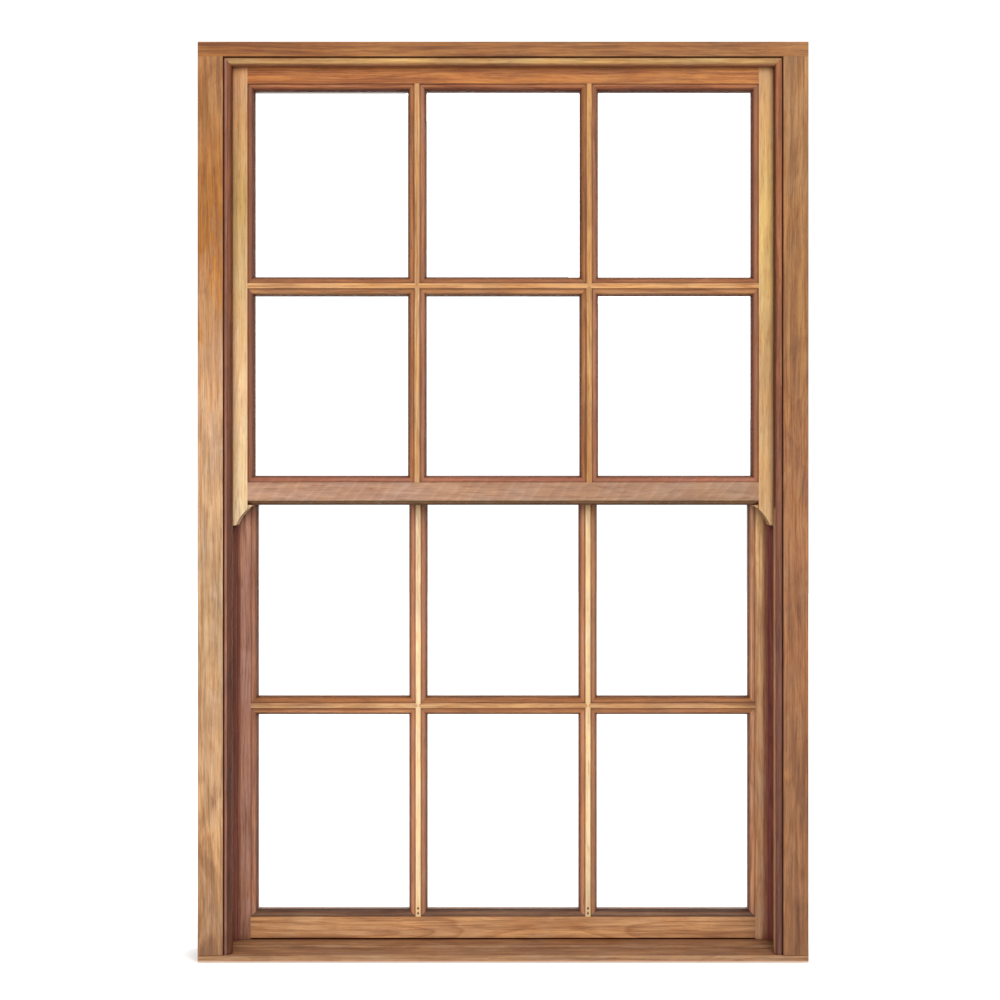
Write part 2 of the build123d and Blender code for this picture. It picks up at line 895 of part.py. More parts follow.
def glazing_bead(sash, start, end, outward):
    """One mitred glazing bead along one side of a pane, on the room side of the glass."""
    face = sash.face_y + moulding_depth + glass_thickness
    start, end, out = Vector(*start), Vector(*end), Vector(*outward)
    middle = (start + end) * 0.5
    plane = section_plane((middle.X, face, middle.Y), (out.X, 0, out.Y))
    with BuildPart() as bead:
        with BuildSketch(plane):
            with BuildLine():
                Polyline(
                    (0, 0),
                    (moulding_width, 0),
                    (moulding_width, glazing_bead_depth),
                    (0, glazing_bead_nose),
                    close=True,
                )
            make_face()
        extrude(amount=(end - start).length / 2 + moulding_width, both=True)
        along = (end - start).normalized() * moulding_width
        back_start = start - along + out * moulding_width
        back_end = end + along + out * moulding_width
        corners = [start, end, back_end, back_start]
        elevation([(p.X, p.Y) for p in corners], face, glazing_bead_depth, Mode.INTERSECT)
    return bead


# Glass and glazing beads of both sashes
for sash in (upper, lower):
    bead_parts = []
    for name, left, right, low, high in pane_openings(sash):
        glass = make_glass(sash, left, right, low, high)
        save(glass, f"{sash.name}_pane_{name}")
        bead_parts += [
            glazing_bead(sash, (left, low), (right, low), (0, -1)).part,
            glazing_bead(sash, (left, high), (right, high), (0, 1)).part,
            glazing_bead(sash, (left, low), (left, high), (-1, 0)).part,
            glazing_bead(sash, (right, low), (right, high), (1, 0)).part,
        ]
    glazing_beads = Compound(label=f"{sash.name}_glazing_beads", children=bead_parts)
    export_step(glazing_beads, f"parts/{sash.name}_glazing_beads.step")


def rod_angle(z):
    """Turn of the twisted rod at a height, in degrees, taken from the middle of the bush."""
    return 360 * (z - bush_middle_z) / rod_pitch


def twisted_strip(side, middle_y, low, high, mode=Mode.ADD):
    """A flat strip twisted about its own line between two heights."""
    plane = Plane(origin=(side * tube_x, middle_y, low)).rotated((0, 0, rod_angle(low)))
    with BuildSketch(plane, mode=Mode.PRIVATE) as strip:
        Rectangle(rod_width, rod_thickness)
    twist = Solid.extrude_linear_with_rotation(
        strip.sketch.face(),
        (side * tube_x, middle_y, low),
        (0, 0, high - low),
        rod_angle(high) - rod_angle(low),
    )
    add(twist, mode=mode)


def balance_foot(side, sash):
    """The pronged steel foot that carries a rod: a leg on the stile's edge and an arm in the groove."""
    middle_y = track_middles[sash.name]
    base = foot_base(sash)
    block(
        (side * sash_edge_x, middle_y - foot_width / 2, base),
        (side * (sash_edge_x + foot_plate), middle_y + foot_width / 2, base + foot_height),
    )
    block(
        (side * sash_edge_x, middle_y - foot_width / 2, base),
        (side * (tube_x + rod_width / 2), middle_y + foot_width / 2, base + foot_plate),
    )
    foot_prongs(side, sash, Mode.ADD)


# Spiral balances
for sash in (upper, lower):
    middle_y = track_middles[sash.name]
    rod_top = rod_top_shut if sash is upper else rod_top_open
    rods = []
    feet = []
    for hand, side in sides.items():
        with BuildPart() as tube:
            with BuildSketch(Plane((side * tube_x, middle_y, tube_bottom_z))) as tube_ring:
                Circle(tube_diameter / 2)
                Circle(tube_diameter / 2 - tube_wall, mode=Mode.SUBTRACT)
            extrude(tube_ring.sketch, amount=tube_length)
            with BuildSketch(Plane((side * tube_x, middle_y, tube_top_z - tube_plug_length))) as plug:
                Rectangle(tube_diameter, tube_diameter)
            extrude(plug.sketch, amount=tube_plug_length)
            add(balance_tube_screws.part, mode=Mode.SUBTRACT)
        save(tube, f"{sash.name}_{hand}_balance_tube")

        with BuildPart() as bush:
            with BuildSketch(Plane((side * tube_x, middle_y, tube_bottom_z))) as barrel:
                Circle(tube_diameter / 2 - tube_wall - bush_clearance)
                Rectangle(
                    rod_width + 2 * slot_clearance, rod_thickness + 2 * slot_clearance, mode=Mode.SUBTRACT
                )
            extrude(barrel.sketch, amount=bush_length)
        save(bush, f"{sash.name}_{hand}_balance_bush")

        with BuildPart() as rod:
            twisted_strip(side, middle_y, foot_base(sash) + foot_plate, rod_top)
        rods.append(rod.part)
        with BuildPart() as foot:
            balance_foot(side, sash)
        feet.append(foot.part)
    balance_rods = Compound(label=f"{sash.name}_balance_rods", children=rods)
    export_step(balance_rods, f"parts/{sash.name}_balance_rods.step")
    balance_feet = Compound(label=f"{sash.name}_balance_feet", children=feet)
    export_step(balance_feet, f"parts/{sash.name}_balance_feet.step")
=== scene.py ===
"""Looks for the sash window: oiled hardwood boards, clear glass, spiral balances and a plain studio.

Everything is in metres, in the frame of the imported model: +X right seen from outside, +Y into the room, +Z up.
A screen colour is (red, green, blue), 0 to 255. Tints and tones of four numbers are linear, with an alpha of 1.
"""
import math

import bmesh
import bpy
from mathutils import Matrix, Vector


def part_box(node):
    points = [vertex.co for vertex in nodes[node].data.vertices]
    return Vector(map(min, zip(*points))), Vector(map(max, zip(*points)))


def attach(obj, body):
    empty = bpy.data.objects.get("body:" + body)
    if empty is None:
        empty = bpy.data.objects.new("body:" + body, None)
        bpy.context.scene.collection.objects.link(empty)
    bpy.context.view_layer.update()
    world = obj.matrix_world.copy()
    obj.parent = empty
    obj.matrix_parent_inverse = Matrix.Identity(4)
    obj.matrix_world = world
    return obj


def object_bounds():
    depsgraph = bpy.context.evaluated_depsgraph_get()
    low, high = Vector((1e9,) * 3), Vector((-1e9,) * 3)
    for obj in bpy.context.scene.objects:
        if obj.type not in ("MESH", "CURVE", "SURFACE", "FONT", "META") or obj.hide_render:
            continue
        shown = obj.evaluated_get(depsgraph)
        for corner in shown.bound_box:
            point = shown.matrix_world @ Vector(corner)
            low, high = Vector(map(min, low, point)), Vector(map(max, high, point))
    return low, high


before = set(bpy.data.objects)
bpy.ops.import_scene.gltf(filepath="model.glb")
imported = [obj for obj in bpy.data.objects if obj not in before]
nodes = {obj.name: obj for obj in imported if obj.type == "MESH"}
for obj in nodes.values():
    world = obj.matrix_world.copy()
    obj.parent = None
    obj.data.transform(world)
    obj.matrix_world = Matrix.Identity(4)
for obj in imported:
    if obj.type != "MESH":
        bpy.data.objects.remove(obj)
cad_low, cad_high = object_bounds()
scene = bpy.context.scene

MM = 0.001
WHITE = (1.0, 1.0, 1.0, 1.0)

# The studio's light on a face that looks forward, on most boards and in the lower sash's recess, and the sheen that
# it adds: a board's own colour is what is left
LIGHT_LEVEL = 2.0
RECESS_LIGHT = 1.35
SHEEN = 0.012
DARKEST = 0.003


def tone(red, green, blue):
    """A screen colour as the linear colour that a shader wants, by the sRGB curve."""
    linear = []
    for value in (red, green, blue):
        share = value / 255
        linear.append(share / 12.92 if share <= 0.04045 else ((share + 0.055) / 1.055) ** 2.4)
    return (*linear, 1.0)


def board_tone(colour, light=LIGHT_LEVEL):
    """The linear colour of wood that looks like this screen colour in the studio."""
    return (*[max(value - SHEEN, DARKEST) / light for value in tone(*colour)[:3]], 1.0)


class Shade:
    """A material's node tree, with a short call for each kind of node that the materials share."""

    def __init__(self, name):
        self.material = bpy.data.materials.new(name)
        self.material.use_nodes = True
        self.tree = self.material.node_tree
        self.surface = self.tree.nodes["Principled BSDF"]

    def connect(self, node, inputs):
        """Links each input to a socket, or sets it to a plain value."""
        for key, value in inputs.items():
            if isinstance(value, bpy.types.NodeSocket):
                self.tree.links.new(value, node.inputs[key])
            else:
                node.inputs[key].default_value = value

    def add(self, kind, inputs, **settings):
        node = self.tree.nodes.new("ShaderNode" + kind)
        for key, value in settings.items():
            setattr(node, key, value)
        self.connect(node, inputs)
        return node

    def place(self):
        """The object's own coordinates, which move with its body."""
        return self.add("TexCoord", {}).outputs["Object"]

    def maths(self, operation, a, b=0.0):
        return self.add("Math", {0: a, 1: b}, operation=operation).outputs[0]

    def vector(self, operation, a, b):
        return self.add("VectorMath", {0: a, 1: b}, operation=operation).outputs[0]

    def spread(self, value, low, high, new_low=0.0, new_high=1.0):
        """A smooth step over value, from new_low at low to new_high at high."""
        inputs = {"Value": value, "From Min": low, "From Max": high, "To Min": new_low, "To Max": new_high}
        return self.add("MapRange", inputs, interpolation_type="SMOOTHSTEP").outputs["Result"]

    def noise(self, vector, stretch, detail=2.0, roughness=0.5, distortion=0.0, output="Fac"):
        """Noise whose features are as many to the metre along each axis as stretch says."""
        scaled = self.add("Mapping", {"Vector": vector, "Scale": stretch}).outputs["Vector"]
        inputs = {
            "Vector": scaled, "Scale": 1.0, "Detail": detail, "Roughness": roughness, "Distortion": distortion,
        }
        return self.add("TexNoise", inputs).outputs[output]

    def openness(self, reach):
        """1 where nothing within reach hides the sky from the surface, and less in a hollow."""
        return self.add("AmbientOcclusion", {"Distance": reach}, samples=6).outputs["AO"]

    def blend(self, share, a, b, kind="MIX"):
        inputs = {0: share, 6: a, 7: b}
        return self.add("Mix", inputs, data_type="RGBA", blend_type=kind).outputs[2]

    def ramp(self, value, stops):
        node = self.add("ValToRGB", {"Fac": value})
        elements = node.color_ramp.elements
        while len(elements) < len(stops):
            elements.new(0.5)
        for element, (place, colour) in zip(elements, stops):
            element.position = place
            element.color = colour
        return node.outputs["Color"]

    def stain(self, share, colour, value, stops):
        """The colour multiplied by a ramp over value, as strongly as share says."""
        return self.blend(share, colour, self.ramp(value, stops), "MULTIPLY")

    def finish(self, colour, roughness, relief, strength, distance, normal=None, fixed=None):
        """Sets the surface's colour, roughness and bump, and what is the same all over it. Gives the material."""
        bump = {"Strength": strength, "Distance": distance, "Height": relief}
        if normal is not None:
            bump["Normal"] = normal
        bumped = self.add("Bump", bump).outputs["Normal"]
        self.connect(self.surface, {"Base Color": colour, "Roughness": roughness, "Normal": bumped})
        self.connect(self.surface, fixed or {})
        return self.material


# The middle of a noise's range, which holds nearly all of it
MIDDLE = (0.3, 0.7)

# The wood's figure: features to the metre across the fibres, through the board and along the fibres
WANDER = (9.0, 9.0, 3.0)
BROAD_STREAKS = (150.0, 150.0, 3.5)
FINE_STREAKS = (520.0, 520.0, 9.0)
DASHES = (560.0, 560.0, 26.0)
PORES = (1300.0, 1300.0, 80.0)
BLOTCHES = (26.0, 26.0, 9.0)
WARMTH = (40.0, 40.0, 14.0)
HEART = (15.0, 15.0, 1.5)

# How far the fibres wander, in metres, how far the blotches push a board's tones along it, in shares of its run, how
# many growth rings the heart's range makes, and how far each board lies from the last one in the figure, in metres
SWAY = (0.016, 0.016, 0.0)
BLOTCH_PUSH = 0.35
RING_COUNT = 15.0
BOARD_STEP = (0.37, 0.73, 1.91)

# How the figure multiplies a board's colour
STREAK_TONES = [(0.0, (0.66, 0.56, 0.48, 1.0)), (0.5, WHITE), (1.0, (1.20, 1.24, 1.22, 1.0))]
HAIR_TONES = [(0.0, (0.74, 0.64, 0.56, 1.0)), (0.5, WHITE), (1.0, (1.12, 1.15, 1.14, 1.0))]
RING_TONES = [
    (0.0, (1.05, 1.06, 1.05, 1.0)), (0.55, (1.0, 0.99, 0.98, 1.0)), (0.9, (0.74, 0.64, 0.56, 1.0)),
    (1.0, (0.98, 0.96, 0.94, 1.0)),
]
FLAME_TONES = [(0.0, (0.93, 0.90, 0.87, 1.0)), (0.6, WHITE), (0.85, (1.20, 1.21, 1.21, 1.0)), (1.0, WHITE)]
BLOTCH_TONES = [(0.0, (0.78, 0.68, 0.60, 1.0)), (1.0, (1.18, 1.20, 1.18, 1.0))]
WARMTH_TONES = [(0.0, (1.05, 0.97, 0.84, 1.0)), (1.0, (0.98, 1.02, 1.12, 1.0))]
PORE_TINT = (0.55, 0.42, 0.34, 1.0)
DASH_TINT = (0.66, 0.46, 0.36, 1.0)

# Painted light and shade: what multiplies the colour as painted shade in hollows and on undersides and as a painted
# highlight on arrises, how far off a wall still shades a hollow or a quirk, and how round the arrises look
HOLLOW_SHADE_TINT = (0.58, 0.42, 0.32, 1.0)
UNDERSIDE_SHADE_TINT = (0.64, 0.56, 0.51, 1.0)
ARRIS_HIGHLIGHT_TINT = (1.30, 1.28, 1.22, 1.0)
HOLLOW_REACH = 20 * MM
QUIRK_REACH = 7 * MM
ARRIS_RADIUS = 0.7 * MM

# Screen colours that the boards share: the room side, and the painted shade in the quirks
ROOM_SIDE = (200, 146, 100)
QUIRK_PAINTED_SHADE = (112, 60, 34)

# The frame moulding's darker tone is partly the wood's own and partly painted shade on faces turned from the front
# A moulding on the frame starts where the surface looks this little forward, and is full at the second number
FRAME_MOULDING = (0.995, 0.55)

# Depth behind a sash's face where its moulding starts, is full, fades and is over, and how deep the ovolo is
SASH_MOULDING = (0.4 * MM, 1.6 * MM, 17 * MM, 19 * MM)
OVOLO_DEPTH = 14 * MM

# Painted light and shade over a sash moulding's depth: painted shade in the quirk, a painted highlight on the crown,
# painted shade by the glass
OVOLO_LIGHT_AND_SHADE = [
    (0.03, (0.84, 0.78, 0.66, 1.0)), (0.178, (0.86, 0.79, 0.68, 1.0)), (0.20, (1.10, 1.10, 1.08, 1.0)),
    (0.31, (1.20, 1.20, 1.22, 1.0)), (0.40, (0.98, 0.95, 0.95, 1.0)), (0.54, (0.66, 0.60, 0.60, 1.0)),
    (1.0, (0.56, 0.51, 0.53, 1.0)),
]

# The horns' curved sides keep more of the face's tone than the mouldings above them
HORN_SHOULDER = 811 * MM
HORN_FADE = 4 * MM
HORN_SHARE = 0.35

# Painted shadow on the lower stiles and painted highlight on the outer beads lie in strips
# A painted strip: how strong it is, how much of its half width is full, and how it fades at its top
STRIP_STRENGTH = 0.9
STRIP_CORE = 0.6
STRIP_FADE = 8 * MM
NO_TOP = 2.0


def grain_axes(shade, axes, normal, grain):
    """The coordinates along and across the fibres: upright, level, or as each piece of a ring of beads runs."""
    if grain == "z":
        return axes["Z"], axes["X"]
    if grain == "x":
        return axes["X"], axes["Z"]
    upward, sideways = shade.maths("ABSOLUTE", normal["Z"]), shade.maths("ABSOLUTE", normal["X"])
    level = shade.maths("GREATER_THAN", upward, sideways)
    swap = shade.maths("MULTIPLY", level, shade.maths("SUBTRACT", axes["X"], axes["Z"]))
    return shade.maths("ADD", axes["Z"], swap), shade.maths("SUBTRACT", axes["X"], swap)


def places_in_log(shade, axes, along, across, number):
    """A point's place in the log, and that place with the fibres' slow wander, so that no streak is straight."""
    log = shade.add("CombineXYZ", {"X": across, "Y": axes["Y"], "Z": along}).outputs[0]
    shift = [step * number for step in BOARD_STEP]
    log = shade.add("Mapping", {"Vector": log, "Location": shift}).outputs["Vector"]
    wander = shade.vector("SUBTRACT", shade.noise(log, WANDER, output="Color"), (0.5, 0.5, 0.5))
    return log, shade.vector("ADD", log, shade.vector("MULTIPLY", wander, SWAY))


def sash_moulding(shade, depth, height, horned):
    """1 on a sash's moulding and 0 on its face and behind the glass, by the depth behind the face."""
    starts, full, fades, over = SASH_MOULDING
    moulded = shade.maths("MULTIPLY", shade.spread(depth, starts, full), shade.spread(depth, over, fades))
    if horned:
        above = shade.spread(height, HORN_SHOULDER, HORN_SHOULDER + HORN_FADE, HORN_SHARE, 1.0)
        moulded = shade.maths("MULTIPLY", moulded, above)
    return moulded


def on_painted_strip(shade, along, across, centre, half_width, top):
    """How strongly a painted strip of shadow or highlight shows at a point."""
    off = shade.maths("ABSOLUTE", shade.maths("SUBTRACT", across, centre))
    within = shade.spread(off, half_width, STRIP_CORE * half_width, 0.0, STRIP_STRENGTH)
    return shade.maths("MULTIPLY", within, shade.spread(along, top, top - STRIP_FADE))


def flame_figure(shade, axes, along, across):
    """Slanting tongues across a board, as in curly wood."""
    slanted = shade.maths("ADD", along, shade.maths("MULTIPLY", across, -0.8))
    slant = shade.add("CombineXYZ", {"X": slanted, "Y": axes["Y"], "Z": across}).outputs[0]
    inputs = {
        "Vector": slant, "Scale": 12.0, "Distortion": 10.0, "Detail": 3.0, "Detail Scale": 1.1,
        "Detail Roughness": 0.6,
    }
    return shade.add("TexWave", inputs, bands_direction="X", wave_profile="SAW").outputs["Fac"]


def timber(
    name, grain, run, faces, moulding, number,
    face_at=None, light=LIGHT_LEVEL, horned=False, streak=1.0, figure=0.4, rings=0.5, flame=0.0, lip_highlight=None,
    painted_strip=None, slope_shading=None, underside_shading=UNDERSIDE_SHADE_TINT, quirk_shade_colour=QUIRK_PAINTED_SHADE,
):
    """A hardwood board.

    grain, run: how its fibres run, and the two coordinates along them between which its tones lie
    faces, moulding: screen colours of its face, one after another along the run, and of its mouldings and edges
    number: gives each board a figure of its own
    face_at: where a sash's face lies in Y, or None on the frame; horned, if the board is a stile with a horn
    light: the studio's light where the board is
    streak, figure, rings, flame: how strong its streaks, blotches, growth rings and slanting tongues are
    lip_highlight: the height of a painted highlight along its foot, and its screen colour
    painted_strip: centre, half width, top and screen colour of a strip of painted shadow or painted highlight along
    it
    slope_shading: an axis, and the tints of painted light and shade on what looks down that axis and up it
    underside_shading, quirk_shade_colour: the tint of painted shade on its undersides (painted light on the cross
    bars), and the screen colour of the painted shade in its quirks
    """
    shade = Shade(name)
    place = shade.add("TexCoord", {})
    axes = shade.add("SeparateXYZ", {"Vector": place.outputs["Object"]}).outputs
    normal = shade.add("SeparateXYZ", {"Vector": place.outputs["Normal"]}).outputs
    along, across = grain_axes(shade, axes, normal, grain)
    log, fibres = places_in_log(shade, axes, along, across, number)

    broad = shade.noise(fibres, BROAD_STREAKS, detail=3.0, roughness=0.6)
    fine = shade.noise(fibres, FINE_STREAKS, detail=3.0, roughness=0.65)
    dashes = shade.noise(fibres, DASHES, detail=1.0)
    pores = shade.noise(fibres, PORES, detail=1.0)
    heart = shade.noise(fibres, HEART, detail=1.5, roughness=0.4)
    blotches = shade.noise(log, BLOTCHES, detail=4.0, roughness=0.6, distortion=0.8)
    warmth = shade.noise(log, WARMTH, detail=3.0, roughness=0.6, distortion=0.4)

    # The face's tones along the board
    level = shade.add("MapRange", {"Value": along, "From Min": run[0], "From Max": run[1]}).outputs["Result"]
    push = shade.maths("MULTIPLY", shade.maths("SUBTRACT", blotches, 0.5), BLOTCH_PUSH)
    faces = faces if len(faces) > 1 else faces * 2
    stops = [(i / (len(faces) - 1), board_tone(face, light)) for i, face in enumerate(faces)]
    colour = shade.ramp(shade.maths("ADD", level, push), stops)

    # The moulding, which the slope tells on the frame and the depth on a sash; its darker tone is partly painted
    # shade
    if face_at is None:
        moulded = shade.spread(shade.maths("ABSOLUTE", normal["Y"]), *FRAME_MOULDING)
        colour = shade.blend(moulded, colour, board_tone(moulding, light))
    else:
        depth = shade.maths("SUBTRACT", axes["Y"], face_at)
        moulded = sash_moulding(shade, depth, axes["Z"], horned)
        colour = shade.blend(moulded, colour, board_tone(moulding, light))
        # Painted highlight and painted shade across the ovolo, by its depth
        colour = shade.stain(moulded, colour, shade.maths("DIVIDE", depth, OVOLO_DEPTH), OVOLO_LIGHT_AND_SHADE)
    # Painted light and shade: each slope lighter or darker by the way it faces
    if slope_shading:
        axis, low_tint, high_tint = slope_shading
        painted_slope_tint = shade.blend(shade.spread(normal[axis], -0.3, 0.3), low_tint, high_tint)
        colour = shade.blend(1.0, colour, painted_slope_tint, "MULTIPLY")
    # A strip along the board: painted shadow on the lower stiles, a painted highlight on the outer beads
    if painted_strip:
        centre, half_width, top, painted_strip_colour = painted_strip
        share = on_painted_strip(shade, along, across, centre, half_width, top)
        colour = shade.blend(share, colour, board_tone(painted_strip_colour, light))
    behind = shade.spread(normal["Y"], 0.3, 0.8, 0.0, 0.6)
    colour = shade.blend(behind, colour, board_tone(ROOM_SIDE))

    # Streaks, growth rings, blotches and pores
    colour = shade.stain(0.8 * streak, colour, shade.spread(broad, *MIDDLE), STREAK_TONES)
    colour = shade.stain(0.85 * streak, colour, shade.spread(fine, *MIDDLE), HAIR_TONES)
    growth = shade.maths("FRACT", shade.maths("MULTIPLY", heart, RING_COUNT))
    colour = shade.stain(rings, colour, growth, RING_TONES)
    if flame:
        colour = shade.stain(flame, colour, flame_figure(shade, axes, along, across), FLAME_TONES)
    colour = shade.stain(figure, colour, shade.spread(blotches, 0.35, 0.65), BLOTCH_TONES)
    colour = shade.stain(0.6, colour, shade.spread(warmth, 0.38, 0.62), WARMTH_TONES)
    pits = shade.spread(pores, 0.60, 0.72)
    colour = shade.blend(shade.maths("MULTIPLY", pits, 0.4), colour, PORE_TINT, "MULTIPLY")
    colour = shade.blend(shade.spread(dashes, 0.60, 0.70, 0.0, 0.55), colour, DASH_TINT, "MULTIPLY")

    # Painted shade on undersides, in hollows and in the quirks, and a painted highlight on the arrises
    colour = shade.blend(shade.spread(normal["Z"], -0.15, -0.75), colour, underside_shading, "MULTIPLY")
    hollow_shade = shade.spread(shade.openness(HOLLOW_REACH), 0.85, 0.35)
    colour = shade.blend(hollow_shade, colour, HOLLOW_SHADE_TINT, "MULTIPLY")
    quirk_shade = shade.spread(shade.openness(QUIRK_REACH), 0.62, 0.12, 0.0, 0.9)
    colour = shade.blend(quirk_shade, colour, board_tone(quirk_shade_colour))
    # Painted highlight along the board's foot
    if lip_highlight:
        height, highlight_colour = lip_highlight
        colour = shade.blend(shade.spread(axes["Z"], height, 0.55 * height), colour, board_tone(highlight_colour))
    soft = shade.add("Bevel", {"Radius": ARRIS_RADIUS}, samples=4).outputs["Normal"]
    hard = shade.add("NewGeometry", {}).outputs["True Normal"]
    bend = shade.add("VectorMath", {0: soft, 1: hard}, operation="DOT_PRODUCT").outputs["Value"]
    arris_highlight = shade.maths("MULTIPLY", shade.spread(bend, 0.985, 0.75), 0.35)
    colour = shade.blend(arris_highlight, colour, ARRIS_HIGHLIGHT_TINT, "MULTIPLY")

    relief = shade.maths("SUBTRACT", shade.maths("MULTIPLY", fine, 0.6), shade.maths("MULTIPLY", pits, 0.7))
    gloss = shade.maths("ADD", shade.spread(broad, *MIDDLE, 0.50, 0.62), shade.maths("MULTIPLY", pits, 0.15))
    return shade.finish(colour, gloss, relief, 0.35, 0.25 * MM, soft, {"Specular IOR Level": 0.22})


def clear_glass():
    """Float glass: clear, a little green, with the faint waviness of a real pane."""
    shade = Shade("clear_glass")
    wave = shade.noise(shade.place(), (6.0, 6.0, 2.5), detail=1.0)
    tint = shade.ramp(wave, [(0.0, (0.965, 0.992, 0.978, 1.0)), (1.0, (0.985, 0.996, 0.990, 1.0))])
    shade.finish(tint, 0.0, wave, 0.02, 0.2 * MM, fixed={"IOR": 1.5, "Transmission Weight": 1.0})

    # Lamps shine through, as they do through a real pane
    clear = shade.add("BsdfTransparent", {"Color": (0.90, 0.93, 0.915, 1.0)}).outputs["BSDF"]
    shadow = shade.add("LightPath", {}).outputs["Is Shadow Ray"]
    mixed = shade.add("MixShader", {0: shadow, 1: shade.surface.outputs["BSDF"], 2: clear}).outputs["Shader"]
    shade.connect(shade.tree.nodes["Material Output"], {"Surface": mixed})
    return shade.material


def moulded_plastic(name, light, dark, roughness):
    """Extruded or moulded plastic with the cloudiness and fine scuffs of a working part."""
    shade = Shade(name)
    place = shade.place()
    cloud = shade.noise(place, (90.0, 90.0, 30.0), detail=4.0)
    scuff = shade.noise(place, (1400.0, 1400.0, 60.0), detail=2.0)
    colour = shade.blend(shade.spread(cloud, *MIDDLE), tone(*light), tone(*dark))
    colour = shade.blend(shade.spread(scuff, 0.62, 0.75, 0.0, 0.4), colour, tone(150, 146, 138))
    rough = shade.spread(scuff, *MIDDLE, roughness, roughness + 0.15)
    return shade.finish(colour, rough, scuff, 0.2, 0.1 * MM)


def plated_steel():
    """Zinc plated steel, brushed along its length, with dull patches."""
    shade = Shade("plated_steel")
    place = shade.place()
    brush = shade.noise(place, (2600.0, 2600.0, 40.0), detail=2.0)
    bloom = shade.noise(place, (120.0, 120.0, 80.0), detail=4.0)
    colour = shade.blend(shade.spread(bloom, *MIDDLE), tone(196, 198, 200), tone(150, 150, 146))
    rough = shade.maths("ADD", shade.spread(brush, *MIDDLE, 0.22, 0.36), shade.spread(bloom, 0.5, 0.8, 0.0, 0.2))
    return shade.finish(colour, rough, brush, 0.25, 0.05 * MM, fixed={"Metallic": 1.0})


def dark_nail():
    """Old wire nail heads, dark brown, with bright and rusty grains."""
    shade = Shade("dark_nail")
    grains = shade.noise(shade.place(), (2200.0, 2200.0, 2200.0), detail=3.0)
    colour = shade.ramp(grains, [(0.35, tone(40, 22, 14)), (0.5, tone(70, 42, 27)), (0.7, tone(110, 78, 54))])
    rough = shade.spread(grains, *MIDDLE, 0.45, 0.7)
    return shade.finish(colour, rough, grains, 0.4, 0.05 * MM, fixed={"Metallic": 0.4})


def dress(name, material):
    """Puts a material in every slot of a CAD node."""
    mesh = nodes[name].data
    if not mesh.materials:
        mesh.materials.append(material)
    for index in range(len(mesh.materials)):
        mesh.materials[index] = material


# Runs of the boards, upright or level: where their first and last tones lie
HEIGHT = (0.0, 1.62)
WIDTH = (-0.5, 0.5)
UPPER = (0.8, 1.6)
LOWER = (0.03, 0.86)

# Options that boards share: where the two sashes' faces lie, and painted light on the cross bars' undersides
UPPER_FACE = {"face_at": -49 * MM}
LOWER_FACE = {"face_at": 5 * MM, "light": RECESS_LIGHT}
LIT_BELOW = {"underside_shading": (1.30, 1.48, 1.60, 1.0)}

# Painted light and shade: tints of a bar's slope that looks left or down, then of the one that looks right or up
UPPER_CROSS = {"slope_shading": ("Z", (1.10, 1.19, 1.23, 1.0), (0.91, 0.83, 0.77, 1.0)), **LIT_BELOW, **UPPER_FACE}
UPPER_UPRIGHT = {"slope_shading": ("X", (1.02, 0.99, 0.80, 1.0), (0.97, 1.01, 1.17, 1.0)), **UPPER_FACE}
LOWER_CROSS = {"slope_shading": ("Z", (1.04, 1.05, 1.19, 1.0), (0.96, 0.92, 0.77, 1.0)), **LIT_BELOW, **LOWER_FACE}
LOWER_UPRIGHT = {
    "slope_shading": ("X", (1.15, 1.13, 1.14, 1.0), (0.84, 0.87, 0.84, 1.0)), "streak": 0.4, "rings": 0.25, **LOWER_FACE,
}

# Centres of the strips of painted shadow along the lower stiles' edges, and of painted highlight along the outer
# beads
STILE_EDGE = 480 * MM
LEFT_BEAD_EDGE = -493.5 * MM
RIGHT_BEAD_EDGE = 483 * MM

